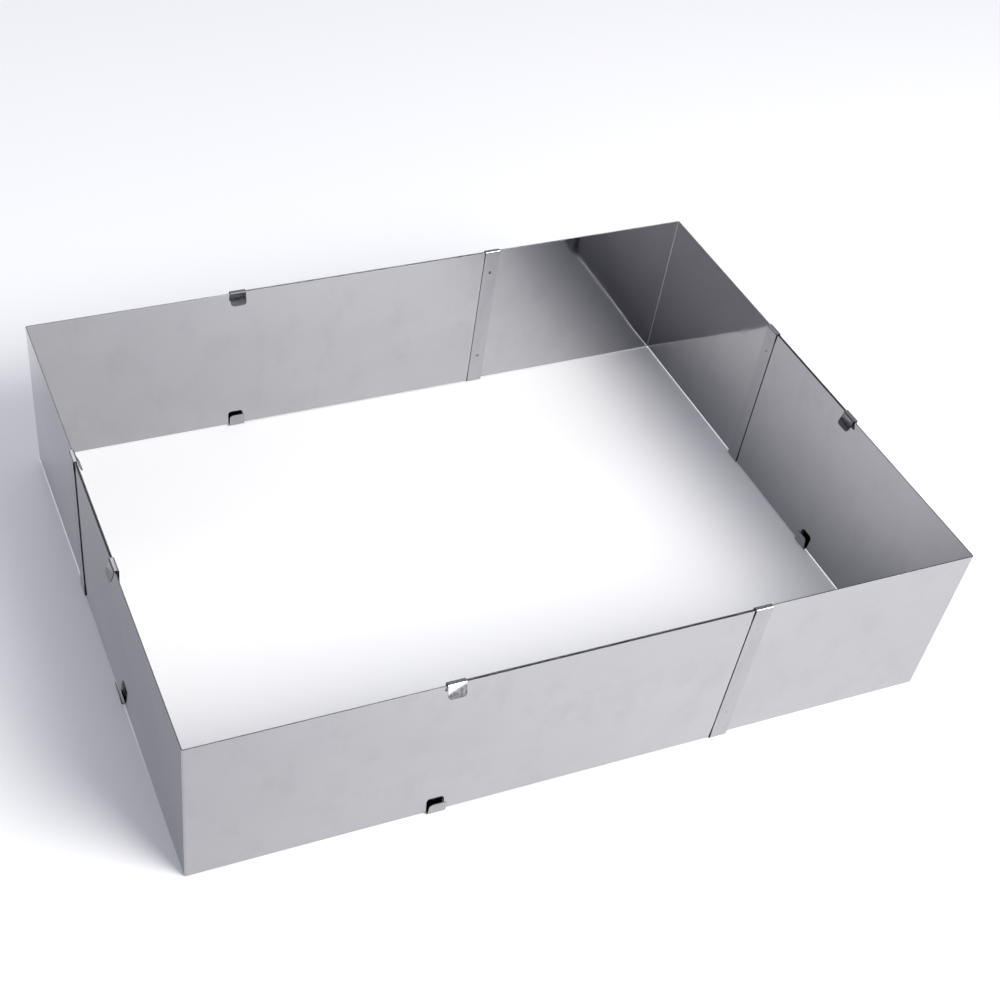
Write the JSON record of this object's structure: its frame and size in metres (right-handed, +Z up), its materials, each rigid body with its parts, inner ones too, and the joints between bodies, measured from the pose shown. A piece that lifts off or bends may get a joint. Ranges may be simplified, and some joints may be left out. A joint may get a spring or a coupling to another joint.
{
  "type": "adjustable cake frame",
  "caption": "Open rectangular cake frame of thin L-shaped sheet-metal corners that overlap along the sides and slide in hooked keeper clips to set its width and depth.",
  "frame": {"origin": "middle of the frame in plan, level with the undersides of the clips' lower bends, which it stands on", "axes": "+X along the long front side to the right, +Y from the front side to the back side, +Z up"},
  "size_m": [0.3732, 0.2844, 0.0864],
  "materials": {
    "panel_steel": "polished stainless sheet with soft reflections, cool grey",
    "clip_steel": "stainless strip, a touch duller than the sheets"
  },
  "bodies": {
    "front_left_corner": {"panel_front_left": "panel_steel", "clip_front_left_on_front": "clip_steel", "clip_front_left_on_side": "clip_steel"},
    "front_right_corner": {"panel_front_right": "panel_steel", "clip_front_right_on_front": "clip_steel", "clip_front_right_on_side": "clip_steel"},
    "back_right_corner": {"panel_back_right": "panel_steel", "clip_back_right_on_back": "clip_steel", "clip_back_right_on_side": "clip_steel"},
    "back_left_corner": {"panel_back_left": "panel_steel", "clip_back_left_on_back": "clip_steel", "clip_back_left_on_side": "clip_steel"}
  },
  "joints": [
    {"name": "width_slide", "type": "slide", "parent": "front_left_corner", "child": "front_right_corner", "axis": [1, 0, 0], "range_m": [-0.1029, 0.1337]},
    {"name": "depth_slide", "type": "slide", "parent": "front_left_corner", "child": "back_left_corner", "axis": [0, 1, 0], "range_m": [-0.0931, 0.063]},
    {"name": "depth_slide_right", "type": "slide", "parent": "front_right_corner", "child": "back_right_corner", "axis": [0, 1, 0], "range_m": [-0.0931, 0.063]}
  ],
  "couplings": [
    {"joint": "depth_slide_right", "follows": "depth_slide", "ratio": 1}
  ]
}
